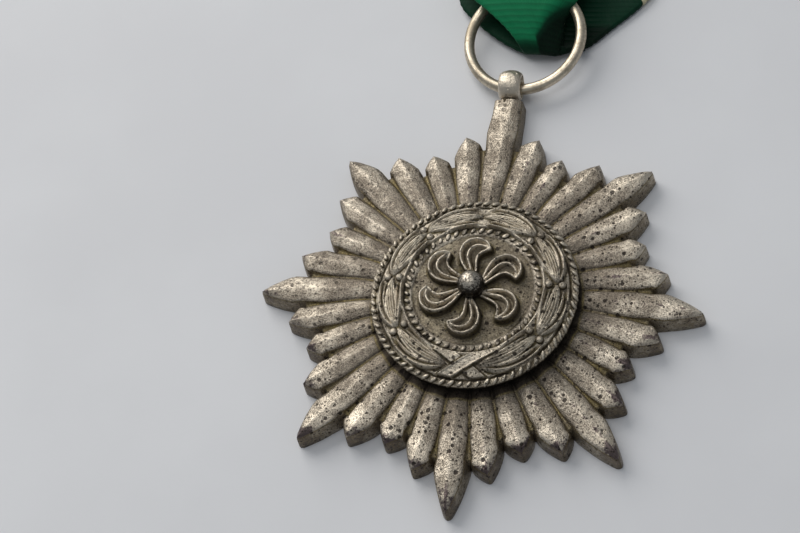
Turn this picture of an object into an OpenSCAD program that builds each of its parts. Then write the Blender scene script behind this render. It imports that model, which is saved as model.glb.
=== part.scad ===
// A cast star medal that lies on its back, with a domed disc on its face,
// an eyelet on its top ray, a wire ring and a ribbon doubled through the ring.
// The centre of the star's flat back is the origin, +Z is the face and +Y the ribbon.

/* [Star] */
// Radius of a long ray at its tip
long_ray_r = 20; // [19:0.5:24]
// Radius of the ray on each side of a long one
side_ray_r = 17.2; // [16.5:0.1:18.5]
// Radius of the short ray half way between two long ones
mid_ray_r = 15.8; // [15:0.1:16.4]
// Height of the star's outer wall
star_wall_h = 1.9; // [1.5:0.1:2.1]
// Height of the ridge along a ray
ray_ridge_h = 2.55; // [2.3:0.05:2.8]
// Height left under the groove between two rays
groove_floor_h = 1.25; // [0.8:0.05:1.4]

/* [Stem and eyelet] */
// Distance from the star's centre to the end of the stem
stem_end = 21.3; // [20.5:0.1:23]
// Width of the stem at its end
stem_w = 2.7; // [2:0.1:3]
// Radius of the eyelet
eyelet_r = 1.55; // [1.4:0.05:1.6]
// Radius of the bore that the ring passes through
eyelet_bore_r = 1; // [0.95:0.05:1.05]

/* [Disc] */
// Radius of the disc to the middle of its rope rim
rim_r = 8.95; // [8.9:0.05:9.3]
// Teeth round the rope rim
rim_teeth = 72; // [60:2:76]
// Radius of the beaded ring inside the wreath
bead_ring_r = 5.88; // [5.7:0.02:6]
// Beads in that ring
bead_count = 48; // [40:2:52]
// Radius of the ball in the middle
ball_r = 1.2; // [1:0.05:1.3]
// Whirling petals round the ball
petal_count = 6; // [5:1:6]

/* [Ring] */
// Radius of the ring to the middle of its wire
ring_r = 5.4; // [5.3:0.05:5.45]
// Diameter of the wire
wire_d = 1.1; // [0.9:0.05:1.15]

/* [Ribbon] */
// Width of the ribbon where it lies flat
ribbon_w = 30; // [28:1:32]
// Distance from the star's centre to the ribbon's cut ends
ribbon_end = 70; // [66:1:76]
// Thickness of the gathered cloth
cloth_t = 1; // [1:0.05:1.1]

/* [Hidden] */
$fn = 48;

// Rays of the star, numbered anticlockwise from +X
ray_count = 32;
ray_step = 360 / ray_count;
stem_ray = ray_count / 4;
// Rays that lean out of their place. Columns: number of the ray, lean in degrees
ray_leans = [
    [7, -1],
    [9, -0.5],
    [11, -1],
    [14, -0.5],
    [15, -1.5],
    [18, -2],
    [19, -2],
    [21, -1.5]
];
// Stations along a ray, with 0 at the notch and 1 at the tip
ray_stations = [0.3, 0.6, 0.85, 1];
ray_tip_half_w = 0.12;
// How late the side of a ray turns in towards the tip
ray_side_power = 2;
// Radii of the notch beside a long ray and of the other notches
long_notch_r = 15.5;
short_notch_r = 14;
groove_start_r = 8.4;
groove_middle_r = 11.5;
groove_half_w = 0.16;
// The foot of the wall stands out from its top edge, at the tip and along the sides
wall_flare = 0.25;
side_flare = 0.1;
tip_wall_drop = 0.1;
tip_ridge_drop = 0.6;
stem_ridge_drop = 0.15;

// The round seat that the disc lies on
seat_r = 8.6;
seat_h = 2.62;

eyelet_y = stem_end + eyelet_r;
eyelet_w = 1.9;
eyelet_round_r = 1.72;
neck_w = 1.6;
neck_reach = 0.3;
neck_bottom = 0.35;
neck_top = 2.05;

// Disc: radii from its middle and heights above the table
rim_under_z = 3;
rim_ledge_z = 3.55;
rim_lip_h = 0.35;
rim_half_w = 0.31;
rim_rise = 0.4;
rim_slant = 0.6;
rim_out = 0.3;
wreath_out_r = 8.5;
wreath_out_z = 3.6;
wreath_in_r = 6.3;
wreath_in_z = 4.3;
wreath_swell = 0.08;
field_edge_r = 5.5;
field_edge_step = 0.1;
field_round = 0.7;
field_edge_z = 4.2;
field_centre_z = 4.5;
bead_half_w = 0.3;
bead_rise = 0.34;
ledge_margin = 0.06;
ball_z = 5.2;

// Wreath: a branch up each side, with leaves in bundles and a berry pair above each
bundles = 4;
bundle_step = 41;
// Angles from the bottom of the disc: the first root, and where a bundle ends,
// its berries sit and the next one starts after each step
bow_half_angle = 11;
tip_angle = 13;
berry_angle = 14.5;
root_angle = 16;
// Leaves of a bundle: radius at the root, radius at the middle, radius at the tip, rise
bundle_leaves = [[7.2, 6.75, 6.75, 0.3], [7.45, 7.5, 7.45, 0.42], [7.7, 8.25, 8.2, 0.3]];
leaf_half_w = 0.4;
leaf_sink = 0.08;
leaf_depth = 0.35;
// Berries of a pair: radius in the wreath
berry_places = [6.7, 7.85];
berry_r = 0.4;
bow_r = 7.25;
bow_arm = [4, 0.8, 1];
bow_rise = 0.35;
bow_angle = 31;

// Petal: a comma with a round head, a straight back and a bite that makes its hook
petal_turn = -2;
petal_head = [-0.1, 3.38];
petal_head_r = 1.38;
petal_bite = [1.38, 2.72];
petal_bite_r = 1;
petal_root_y = 0.8;
petal_root_x = [-0.45, 0.3];
petal_neck_y = 3.15;
petal_neck_x = [-1.43, 0.4];
petal_edge_w = 0.27;
petal_bottom = 4.1;
petal_floor = 4.75;
petal_top = 5.1;
hook_head = [0.1, 3.24];
hook_r = 0.8;
hook_w = 0.24;
hook_tail_y = 1.3;
hook_tail_x = -0.25;
hook_drop = 0.05;
hook_join = 0.02;

// Ring: its middle and its tilts, as it leans on the ribbon
ring_middle = [0.7, 27.98, 1.98];
ring_tilt = [6, -5];

// The lower leaf shows past the upper one, at its cut end and on its right
lower_leaf_out = 1.5;
half_w = ribbon_w / 2;
// Height of the middle of the cloth where it lies on the table
lying_h = cloth_t / 2;
// Ribbon rows, from the cut end of the upper leaf round the fold to the lower one.
// Columns: y, height at the middle, left edge x, right edge x, left drop, right drop,
// depth of the two lengthwise folds
ribbon_rows = [
    [ribbon_end, 1.8, -half_w, half_w, 0, 0, 0],
    [60, 2.0, -12.8, 12.6, 0.2, 0.2, 0.05],
    [50, 2.5, -10.4, 10.2, 0.7, 0.7, 0.15],
    [42, 3.4, -8.3, 8.2, 1.5, 1.4, 0.25],
    [37, 4.1, -6.9, 7, 1.75, 1.4, 0.3],
    [33.4, 4.3, -5.9, 6.1, 1.1, 0.6, 0.2],
    [31.6, 4.2, -4.7, 5.6, 0.6, 0, 0.15],
    [30.1, 3.8, -2.8, 4.4, 0.3, 0, 0.1],
    [28.7, 3.15, -1.1, 4.2, 0.1, 0, 0.05],
    [27.65, 2.35, 0, 4.1, 0, 0, 0],
    [27.15, 1.6, 0.5, 4, 0, 0, 0],
    [27.1, 0.95, 0.6, 4.2, 0, 0, 0],
    [27.5, 0.58, 0, 5.2, 0, 0, 0],
    [28.5, lying_h, -1.8, 6.7, 0, 0, 0],
    [30.6, lying_h, -4.5, 8.7, 0, 0, 0],
    [32.6, lying_h, -6.3, 10.6, 0, 0, 0],
    [34.6, lying_h, -6.6, 12, 0, 0, 0],
    [42, lying_h, -7.6, 13.2, 0, 0, 0],
    [52, lying_h, -10.2, 14.6, 0, 0, 0],
    [62, lying_h, -12.4, 15.8, 0, 0, 0],
    [ribbon_end + lower_leaf_out, lying_h, lower_leaf_out - half_w, lower_leaf_out + half_w, 0, 0, 0]
];
ribbon_across = 16;
// Places of the two folds across the cloth, from 0 in the middle to 1 at the edge
fold_place = 0.625;
fold_half_w = 0.14;
// How late the upper leaf falls away towards its sides
ribbon_side_power = 2.4;

function mix(a, b, t) = a + (b - a) * t;

// Star: angle, kind and sizes of ray i
function lean(i) =
    let (found = [for (row = ray_leans) if (row[0] == i) row[1]]) len(found) > 0 ? found[0] : 0;
function ray_angle(i) = i * ray_step + lean(i % ray_count);
function is_stem(i) = i % ray_count == stem_ray;
function tip_r(i) =
    is_stem(i) ? stem_end : i % 4 == 0 ? long_ray_r : i % 4 == 2 ? mid_ray_r : side_ray_r;
function tip_half_w(i) = is_stem(i) ? stem_w / 2 : ray_tip_half_w;
function side_power(i) = is_stem(i) ? 1 : ray_side_power;
function ridge_drop(i) = is_stem(i) ? stem_ridge_drop : tip_ridge_drop;

// The groove on the anticlockwise side of ray i
function groove_angle(i) = (ray_angle(i) + ray_angle(i + 1)) / 2;
function notch_r(i) = i % 4 == 0 || i % 4 == 3 ? long_notch_r : short_notch_r;
function polar(r, a, z) = [r * cos(a), r * sin(a), z];

// A point on ray i: u along its axis and v to its left
function on_ray(i, u, v, z) =
    let (a = ray_angle(i)) [u * cos(a) - v * sin(a), u * sin(a) + v * cos(a), z];

// Angle from the axis of ray i to its groove on one side, 1 left and -1 right
function half_angle(i, side) =
    side > 0 ? groove_angle(i) - ray_angle(i) : ray_angle(i) - groove_angle(i - 1);
function side_notch_r(i, side) = side > 0 ? notch_r(i) : notch_r((i + ray_count - 1) % ray_count);

// Shoulder of the ray beside the groove
function shoulder(i, side, r) =
    let (h = half_angle(i, side)) on_ray(i, r * cos(h), side * (r * sin(h) - groove_half_w), star_wall_h);

// The side of the ray from the notch, where s is 0, to the tip, where s is 1
function side_point(i, side, s, back, aside, z) =
    let (h = half_angle(i, side), r = side_notch_r(i, side))
    let (u = mix(r * cos(h), tip_r(i), s), v = mix(r * sin(h), tip_half_w(i), pow(s, side_power(i))))
    on_ray(i, u - back, side * (v + aside), z);

function ridge_point(i, s) =
    let (r = (side_notch_r(i, 1) + side_notch_r(i, -1)) / 2)
    on_ray(i, mix(r, tip_r(i) - wall_flare, s), 0, ray_ridge_h - ridge_drop(i) * s * s);

// The points of ray i and of the groove on its left, in a fixed order
function ray_points(i) = [
    on_ray(i, groove_start_r, 0, ray_ridge_h),
    on_ray(i, groove_middle_r, 0, ray_ridge_h),
    for (s = concat([0], ray_stations)) ridge_point(i, s),
    for (side = [1, -1]) each [
        for (r = [groove_start_r, groove_middle_r, side_notch_r(i, side)]) shoulder(i, side, r),
        for (s = ray_stations) side_point(i, side, s, wall_flare * s, 0, star_wall_h - tip_wall_drop * s)
    ],
    for (side = [1, -1], s = ray_stations) side_point(i, side, s, 0, side_flare, 0),
    for (r = [groove_start_r, groove_middle_r, notch_r(i)]) polar(r, groove_angle(i), groove_floor_h),
    polar(notch_r(i) + side_flare, groove_angle(i), 0)
];
chain = 3 + len(ray_stations);
foot = len(ray_stations);
ray_size = 3 * chain + 2 * foot + 4;

// The middles of the top and of the back come after the points of all rays
middle_top = ray_count * ray_size;
middle_back = middle_top + 1;

// Numbers of those points
function ridge_no(i, k) = (i % ray_count) * ray_size + k;
function edge_no(i, side, k) = ridge_no(i, (side > 0 ? chain : 2 * chain) + k);
function foot_no(i, side, k) = ridge_no(i, 3 * chain + (side > 0 ? 0 : foot) + k);
function groove_no(i, k) = ridge_no(i, 3 * chain + 2 * foot + k);
function side_groove_no(i, side, k) = groove_no(side > 0 ? i : i + ray_count - 1, k);

// Triangles of a four-sided face, turned over on the other side
function quad(a, b, c, d) = [[a, b, c], [a, c, d]];
function facing(side, faces) = side > 0 ? faces : [for (f = faces) [f[2], f[1], f[0]]];

function ray_side_faces(i, side) = [
    for (k = [0 : chain - 2])
        each quad(ridge_no(i, k), edge_no(i, side, k), edge_no(i, side, k + 1), ridge_no(i, k + 1)),
    for (k = [0, 1])
        each quad(edge_no(i, side, k), side_groove_no(i, side, k), side_groove_no(i, side, k + 1),
                  edge_no(i, side, k + 1)),
    [edge_no(i, side, 2), side_groove_no(i, side, 2), edge_no(i, side, 3)],
    each quad(side_groove_no(i, side, 2), side_groove_no(i, side, 3), foot_no(i, side, 0),
              edge_no(i, side, 3)),
    for (k = [0 : foot - 2])
        each quad(
            edge_no(i, side, 3 + k),
            foot_no(i, side, k),
            foot_no(i, side, k + 1),
            edge_no(i, side, 4 + k)
        ),
    [ridge_no(i, chain - 1), edge_no(i, side, chain - 1), foot_no(i, side, foot - 1)],
    for (k = [0 : foot - 2]) [foot_no(i, side, k + 1), foot_no(i, side, k), middle_back],
    [foot_no(i, side, 0), side_groove_no(i, side, 3), middle_back],
    [middle_top, side_groove_no(i, side, 0), edge_no(i, side, 0)],
    [middle_top, edge_no(i, side, 0), ridge_no(i, 0)]
];
function ray_faces(i) = [
    each facing(1, ray_side_faces(i, 1)),
    each facing(-1, ray_side_faces(i, -1)),
    [ridge_no(i, chain - 1), foot_no(i, 1, foot - 1), foot_no(i, -1, foot - 1)],
    [foot_no(i, -1, foot - 1), foot_no(i, 1, foot - 1), middle_back]
];

module rays() {
    polyhedron(
        points = [
            for (i = [0 : ray_count - 1]) each ray_points(i),
            [0, 0, groove_floor_h],
            [0, 0, 0]
        ],
        faces = [for (i = [0 : ray_count - 1]) each ray_faces(i)],
        convexity = 10
    );
}

module eyelet() {
    translate([0, eyelet_y, eyelet_r])
        rotate([0, 90, 0])
            intersection() {
                cylinder(r = eyelet_r, h = eyelet_w, center = true);
                sphere(r = eyelet_round_r);
            }
}

module eyelet_bore() {
    translate([0, eyelet_y, eyelet_r])
        rotate([0, 90, 0])
            cylinder(r = eyelet_bore_r, h = 2 * eyelet_w, center = true);
}

module star() {
    color("silver")
        difference() {
            union() {
                rays();
                cylinder(r = seat_r, h = seat_h);
                // The neck between the stem and the eyelet
                translate([-neck_w / 2, stem_end - neck_w, neck_bottom])
                    cube([neck_w, neck_w + neck_reach, neck_top - neck_bottom]);
                eyelet();
            }
            eyelet_bore();
        }
}

// Disc: height of the wreath's bed at radius r
function bed_z(r) = mix(wreath_in_z, wreath_out_z, (r - wreath_in_r) / (wreath_out_r - wreath_in_r));

module disc_body() {
    rotate_extrude()
        polygon([
            [0, seat_h],
            [seat_r, seat_h],
            [rim_r - rim_half_w, rim_under_z],
            [rim_r + rim_out, rim_ledge_z - rim_lip_h],
            [rim_r + rim_out, rim_ledge_z],
            [rim_r - rim_half_w - ledge_margin, rim_ledge_z],
            [wreath_out_r, wreath_out_z],
            [(wreath_out_r + wreath_in_r) / 2, (wreath_out_z + wreath_in_z) / 2 + wreath_swell],
            [wreath_in_r, wreath_in_z],
            [field_edge_r, wreath_in_z],
            [field_edge_r - field_edge_step, field_edge_z],
            [bead_ring_r / 2, mix(field_edge_z, field_centre_z, field_round)],
            [0, field_centre_z]
        ]);
}

// A ring of beads that grow out of one another, with its flat foot at height z.
// Stations of a bead: place along it, share of the full width, share of the full rise
bead_stations = [[0, 0.6, 0.35], [0.3, 0.95, 0.85], [0.5, 1, 1], [0.7, 0.95, 0.85]];
// Corners across the ring: distance from its middle line, height
bead_section = [[-1, 0], [-0.75, 0.6], [0, 1], [0.75, 0.6], [1, 0]];

module bead_row(count, r, z, half_w, rise, slant) {
    per = len(bead_stations);
    corners = len(bead_section);
    total = count * per;
    polyhedron(
        points = [
            for (i = [0 : count - 1], st = bead_stations, c = bead_section)
                polar(r + half_w * c[0] * st[1], (i + st[0] + slant * c[0]) * 360 / count,
                      z + rise * c[1] * st[2])
        ],
        faces = [
            for (i = [0 : total - 1], j = [0 : corners - 1])
                let (n = (i + 1) % total, k = (j + 1) % corners)
                each quad(i * corners + j, n * corners + j, n * corners + k, i * corners + k)
        ],
        convexity = 10
    );
}

// A leaf with a raised midrib, from angle a0 to a1 round the disc
module leaf(row, a0, a1) {
    stations = [0.2, 0.5, 0.8];
    function middle_r(t) = (1 - t) * (1 - t) * row[0] + 2 * t * (1 - t) * row[1] + t * t * row[2];
    function spot(t, v, z) =
        polar(middle_r(t) + v * leaf_half_w * sin(180 * t), mix(a0, a1, t), bed_z(middle_r(t)) + z);
    ends = len(stations) * 4;
    polyhedron(
        points = [
            for (t = stations) each [
                spot(t, 0, row[3]),
                spot(t, 1, -leaf_sink),
                spot(t, 0, -leaf_depth),
                spot(t, -1, -leaf_sink)
            ],
            spot(0, 0, -leaf_sink),
            spot(1, 0, -leaf_sink)
        ],
        faces = facing(a1 - a0, [
            for (k = [0 : 3]) each [
                [ends, k, (k + 1) % 4],
                [ends + 1, ends - 4 + (k + 1) % 4, ends - 4 + k]
            ],
            for (j = [0 : len(stations) - 2], k = [0 : 3])
                each quad(4 * j + k, 4 * j + 4 + k, 4 * j + 4 + (k + 1) % 4, 4 * j + (k + 1) % 4)
        ])
    );
}

module wreath_branch(side) {
    for (b = [0 : bundles - 1]) {
        root = -90 + side * (b == 0 ? bow_half_angle : b * bundle_step + root_angle);
        tip = -90 + side * ((b + 1) * bundle_step + tip_angle);
        for (row = bundle_leaves)
            leaf(row, root, tip);
    }
}

module berries() {
    for (side = [1, -1], b = [1 : bundles - 1], r = berry_places)
        translate(polar(r, -90 + side * (b * bundle_step + berry_angle), bed_z(r)))
            sphere(r = berry_r, $fn = 20);
}

module bow() {
    for (turn = [bow_angle, -bow_angle])
        translate([0, -bow_r, bed_z(bow_r) + bow_rise - bow_arm[2] / 2])
            rotate([atan2(wreath_in_z - wreath_out_z, wreath_out_r - wreath_in_r), 0, turn])
                cube(bow_arm, center = true);
}

module petal_outline(inset) {
    difference() {
        union() {
            translate(petal_head)
                circle(r = petal_head_r - inset);
            polygon([
                [petal_root_x[0] + inset, petal_root_y],
                [petal_neck_x[0] + inset, petal_neck_y],
                [petal_neck_x[1] - inset, petal_neck_y],
                [petal_root_x[1] - inset, petal_root_y]
            ]);
        }
        translate(petal_bite)
            circle(r = petal_bite_r + inset);
    }
}

// The second comma inside a petal
module petal_hook() {
    difference() {
        translate(hook_head)
            circle(r = hook_r);
        translate(hook_head)
            circle(r = hook_r - hook_w);
        translate(hook_head - [2 * hook_r, 4 * hook_r])
            square(4 * hook_r);
        translate(petal_bite)
            circle(r = petal_bite_r + petal_edge_w / 2);
    }
    polygon([
        [hook_tail_x, hook_tail_y],
        [hook_head[0] - hook_r, hook_head[1] + hook_join],
        [hook_head[0] - hook_r + hook_w, hook_head[1] + hook_join]
    ]);
}

module petal() {
    difference() {
        translate([0, 0, petal_bottom])
            linear_extrude(petal_top - petal_bottom)
                petal_outline(0);
        translate([0, 0, petal_floor])
            linear_extrude(petal_top)
                petal_outline(petal_edge_w);
    }
    translate([0, 0, petal_bottom])
        linear_extrude(petal_top - petal_bottom - hook_drop)
            petal_hook();
}

module disc() {
    color("silver")
        union() {
            disc_body();
            bead_row(rim_teeth, rim_r, rim_ledge_z, rim_half_w, rim_rise, rim_slant);
            bead_row(bead_count, bead_ring_r, wreath_in_z, bead_half_w, bead_rise, 0);
            wreath_branch(1);
            wreath_branch(-1);
            berries();
            bow();
            for (i = [0 : petal_count - 1])
                rotate([0, 0, petal_turn - i * 360 / petal_count])
                    petal();
            translate([0, 0, ball_z])
                sphere(r = ball_r);
        }
}

module ring() {
    color("lightgray")
        translate(ring_middle)
            rotate([ring_tilt[0], ring_tilt[1], 0])
                rotate_extrude()
                    translate([ring_r, 0])
                        circle(d = wire_d, $fn = 24);
}

// Ribbon: direction across the cloth at row k, in the plane x = 0
function row_slope(k) =
    let (a = ribbon_rows[max(k - 1, 0)], b = ribbon_rows[min(k + 1, len(ribbon_rows) - 1)])
    let (d = [b[0] - a[0], b[1] - a[1]]) [-d[1], d[0]] / norm(d);

// A point of the cloth at row k, u from -1 left to 1 right, on one face of it
function cloth_point(k, u, face) =
    let (row = ribbon_rows[k], n = row_slope(k) * face * cloth_t / 2)
    let (valley = row[6] * exp(-pow((abs(u) - fold_place) / fold_half_w, 2)))
    let (fall = (u < 0 ? row[4] : row[5]) * pow(abs(u), ribbon_side_power) + valley)
    [mix(row[2], row[3], (u + 1) / 2), row[0] + n[0], row[1] - fall + n[1]];

module ribbon() {
    rows = len(ribbon_rows);
    wide = ribbon_across + 1;
    side_points = rows * wide;
    color("darkgreen")
        polyhedron(
            points = [
                for (face = [1, -1], k = [0 : rows - 1], j = [0 : ribbon_across])
                    cloth_point(k, 2 * j / ribbon_across - 1, face)
            ],
            faces = [
                for (k = [0 : rows - 2], j = [0 : ribbon_across - 1]) each [
                    each quad(k * wide + j, (k + 1) * wide + j, (k + 1) * wide + j + 1, k * wide + j + 1),
                    each quad(side_points + k * wide + j, side_points + k * wide + j + 1,
                              side_points + (k + 1) * wide + j + 1, side_points + (k + 1) * wide + j)
                ],
                for (k = [0 : rows - 2], j = [0, ribbon_across])
                    each facing(j > 0 ? 1 : -1, quad(
                        k * wide + j, (k + 1) * wide + j,
                        side_points + (k + 1) * wide + j, side_points + k * wide + j)),
                for (j = [0 : ribbon_across - 1], k = [0, rows - 1])
                    each facing(k > 0 ? 1 : -1, quad(
                        k * wide + j, side_points + k * wide + j,
                        side_points + k * wide + j + 1, k * wide + j + 1))
            ],
            convexity = 8
        );
}

star();
disc();
ring();
ribbon();
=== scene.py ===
import math

import bmesh
import bpy
import numpy as np
from mathutils import Euler, Matrix, Vector


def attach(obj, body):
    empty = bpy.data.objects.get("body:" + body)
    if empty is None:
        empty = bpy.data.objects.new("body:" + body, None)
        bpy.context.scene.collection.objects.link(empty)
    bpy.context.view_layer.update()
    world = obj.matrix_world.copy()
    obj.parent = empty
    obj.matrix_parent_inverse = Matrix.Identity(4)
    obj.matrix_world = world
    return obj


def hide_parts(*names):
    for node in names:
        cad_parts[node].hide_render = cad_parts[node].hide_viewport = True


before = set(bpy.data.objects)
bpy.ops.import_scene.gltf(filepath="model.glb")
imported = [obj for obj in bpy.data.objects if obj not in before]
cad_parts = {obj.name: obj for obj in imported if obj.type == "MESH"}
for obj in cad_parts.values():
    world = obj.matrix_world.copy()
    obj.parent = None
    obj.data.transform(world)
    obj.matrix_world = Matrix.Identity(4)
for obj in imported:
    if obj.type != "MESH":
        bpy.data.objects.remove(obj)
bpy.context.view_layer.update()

MM = 0.001

# Table, daylight and viewpoint. The medal lies on a pale smooth table top, in soft daylight
# that comes from above and behind, and it is seen from its lower right.
camera_place_mm = Vector((38.779, -84.860, 166.513))
camera_right = Vector((0.9696, 0.1536, -0.1904)).normalized()
camera_up = Vector((-0.0444, 0.8758, 0.4807))
camera_back = camera_right.cross(camera_up).normalized()
camera_up = camera_back.cross(camera_right)
lens_mm, sensor_mm, nearest_seen = 96.53, 36, 0.01
# The table's size and how far it lies below the medal, in mm
table_size, table_gap, table_rough = 1200, 0.02, 0.5
table_tints = [(0.72, 0.73, 0.76, 1), (0.68, 0.688, 0.718, 1)]
sky_tint, sky_strength = (0.86, 0.93, 1.0, 1), 0.26
# Lights. Columns: name, place in metres, size in metres, watts, colour
lights = [
    ("window", (-0.42, 0.42, 0.42), 0.6, 3.7, (1.0, 0.97, 0.92)),
    ("ceiling", (-0.04, 0.03, 0.78), 0.42, 1.1, (1.0, 0.985, 0.955)),
]


def set_sockets(node, values):
    """Gives each named socket of a node a number or another node's output."""
    for key, value in values.items():
        if isinstance(value, bpy.types.NodeSocket):
            node.id_data.links.new(value, node.inputs[key])
        else:
            node.inputs[key].default_value = value


def put(tree, kind, values=None, **settings):
    """The outputs of a new node with the given settings and sockets."""
    node = tree.nodes.new(kind)
    for key, value in settings.items():
        setattr(node, key, value)
    set_sockets(node, values or {})
    return node.outputs


def after(kind, values, **settings):
    """The same, in the tree of the outputs that are among the values."""
    tree = next(v.id_data for v in values.values() if isinstance(v, bpy.types.NodeSocket))
    return put(tree, kind, values, **settings)


def sums(what, a, b=0.0):
    return after("ShaderNodeMath", {0: a, 1: b}, operation=what)[0]


def plus(total, *terms):
    for term in terms:
        total = sums("ADD", total, term)
    return total


def times(total, *factors):
    for factor in factors:
        total = sums("MULTIPLY", total, factor)
    return total


def minus(a, b):
    return sums("SUBTRACT", a, b)


def ramp(value, start, end, low=0.0, high=1.0):
    """Goes smoothly from low to high as value goes from start to end."""
    return after("ShaderNodeMapRange", {
        "Value": value, "From Min": start, "From Max": end, "To Min": low, "To Max": high},
        interpolation_type="SMOOTHSTEP")[0]


def tint(share, first, second):
    """Colour between first and second."""
    return after("ShaderNodeMix", {0: share, 6: first, 7: second}, data_type="RGBA")[2]


def layered(colour, layers):
    """A colour under layers. Columns: the share that a layer covers, its colour."""
    for share, over in layers:
        colour = tint(share, colour, over)
    return colour


def cloudy(where, scale, detail=3.0, rough=0.55):
    """Soft noise around 0.5, with scale in clouds for each millimetre."""
    return after("ShaderNodeTexNoise", {
        "Vector": where, "Scale": scale, "Detail": detail, "Roughness": rough})[0]


def scaled(vector, factor):
    return after("ShaderNodeVectorMath", {0: vector, "Scale": factor}, operation="SCALE")[0]


def xyz(vector):
    return after("ShaderNodeSeparateXYZ", {0: vector})


def in_mm(tree):
    """The place on the piece, in millimetres."""
    return scaled(put(tree, "ShaderNodeTexCoord")["Object"], 1 / MM)


def bump(height, strength, deep_mm):
    """The normal of a skin with fine relief."""
    return after("ShaderNodeBump", {
        "Height": height, "Strength": strength, "Distance": deep_mm * MM})[0]


def finish_of(name):
    """A new material, its node tree and its shader."""
    made = bpy.data.materials.new(name)
    made.use_nodes = True
    return made, made.node_tree, made.node_tree.nodes["Principled BSDF"]


def add_object(name, data):
    made = bpy.data.objects.new(name, data)
    bpy.context.scene.collection.objects.link(made)
    return made


def add_mesh(name, points, faces=(), marks={}):
    """A smooth mesh object from points in mm, which carries the marks at its points."""
    mesh = bpy.data.meshes.new(name)
    mesh.from_pydata((np.array(points) * MM).tolist(), [], faces)
    for key, values in marks.items():
        layer = mesh.attributes.new(key, "FLOAT", "POINT")
        layer.data.foreach_set("value", np.array(values, np.float32))
    mesh.shade_smooth()
    return add_object(name, mesh)


def table_top():
    made, tree, shader = finish_of("pale_table_top")
    where = in_mm(tree)
    share = ramp(cloudy(where, 0.03, 4.0), 0.35, 0.65)
    set_sockets(shader, {
        "Base Color": tint(share, *table_tints), "Roughness": table_rough,
        "Normal": bump(cloudy(where, 1.5), 0.12, 0.05)})
    return made


half = table_size / 2
corners = [(-half, -half), (half, -half), (half, half), (-half, half)]
table = add_mesh("table", [(x, y, -table_gap) for x, y in corners], [(0, 1, 2, 3)])
table.data.materials.append(table_top())

for name, place, size, watts, colour in lights:
    lamp = bpy.data.lights.new(name, "AREA")
    lamp.size, lamp.energy, lamp.color = size, watts, colour
    holder = add_object(name, lamp)
    holder.location = place
    holder.rotation_euler = Vector(place).to_track_quat("Z", "Y").to_euler()

sky = bpy.data.worlds.new("sky")
sky.use_nodes = True
set_sockets(sky.node_tree.nodes["Background"], {"Color": sky_tint, "Strength": sky_strength})
bpy.context.scene.world = sky
bpy.context.scene.view_settings.view_transform = "Standard"

lens = bpy.data.cameras.new("camera")
lens.sensor_width, lens.lens, lens.clip_start = sensor_mm, lens_mm, nearest_seen
camera = add_object("camera", lens)
turned = Matrix((camera_right, camera_up, camera_back)).transposed().to_4x4()
camera.matrix_world = Matrix.Translation(camera_place_mm * MM) @ turned
bpy.context.scene.camera = camera


# Star. One casting of silvered zinc alloy, poured with its 32 rays, its stem and its eyelet.
# Its back is flat, its rays are ridged leaves with narrow grooves between them, and its skin is
# pitted and worn to bright metal on the crests. Painted shade rings the disc, and a painted
# highlight brightens the rays towards the lower right.
ray_count, stem_ray = 32, 8
ray_step = math.tau / ray_count
# Rays that lean out of their place, in degrees
ray_leans = {7: -1, 9: -0.3, 11: -0.6, 15: -0.4, 18: -0.6, 19: -0.6, 21: -0.4}
ray_start = 8.0
# Four neighbouring rays, and the notches that follow them, repeat round the star
ray_radii = [20.0, 17.1, 15.78, 17.1]
notch_radii = [15.5, 14.0, 14.0, 15.5]
tip_half_w = [0.22, 0.1, 0.1, 0.1]
# The rays run towards a point beside the disc's middle. Rows: radius, how far a ray is
# moved there, as a share of the whole shift
shift_rows = np.array([
    [10.4, 1.0], [11.6, 0.9], [12.8, 0.77], [14.0, 0.68], [17.2, 0.58], [20.0, 0.0]])
whole_shift = np.array([-0.27, 0.58])
# The stem takes the place of the top ray, and its ridge leans aside
stem_end, stem_half_w = 21.3, 1.35
stem_ridge_aside, lean_at_notch = -0.4, 0.7
wall_h, ridge_h, groove_h, web_h = 1.82, 2.13, 1.8, 1.45
middle_rise, rise_reach = 0.3, 11.5
groove_half_w, web_half_w, web_reach = 0.1, 0.36, 2.6
# Past the notch. The powers say how fast a ray and the stem narrow to their ends, and the
# backs how far their top edge stands in from their foot there
ray_power, stem_power = 1.8, 1.0
ray_back, stem_back = 0.13, 0.1
tip_round, tip_inset, least_half_w, foot_spread = 0.06, 0.08, 0.045, 0.06
tip_from, ridge_fall, tip_ridge_fall, edge_fall, tip_edge_fall = 0.72, 0.1, 0.28, 0.13, 0.12
rows_to_notch, rows_to_tip, first_row = 46, 34, 0.015
# Across half a ray: share of the way from the ridge to the shoulder
ray_across = np.array([0.0, 0.07, 0.18, 0.31, 0.44, 0.57, 0.69, 0.80, 0.89, 0.95, 1.0])
ridge_round, edge_round_from, edge_round, wall_top = 0.1, 0.9, 0.4, 0.05
# Down the wall beside it: share of the way out, share of the way down
ray_wall = np.array([[0.3, 0.08], [0.55, 0.33], [0.8, 0.68], [1.0, 1.0]])
# The same down into the groove
ray_web = np.array([[0.1, 0.2], [0.3, 0.66], [0.6, 0.92], [1.0, 1.0]])
# What the mesh tells the finish: how far out a point is, how much tarnish and painted shade it
# takes, on a wall, on a ridge
mark_names = ("along", "hollow", "wall", "ridge")
groove_dark, edge_dark = 0.36, 0.62
# The star is painted dark round the disc as shade, from the first radius to the second
painted_shade_middle, painted_shade_from, painted_shade_to = np.array([0.04, -0.3]), 9.25, 9.75
seat_r, seat_low, seat_h, axis_r, seat_turns = 8.6, 1.0, 2.62, 0.01, 96
eyelet_middle, eyelet_r, eyelet_half_w, bore_r = (0, 22.85, 1.55), 1.55, 1.06, 1.0
eyelet_edge_r, eyelet_edge_w, eyelet_steps, eyelet_turns = 0.04, 0.06, 21, 56
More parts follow.
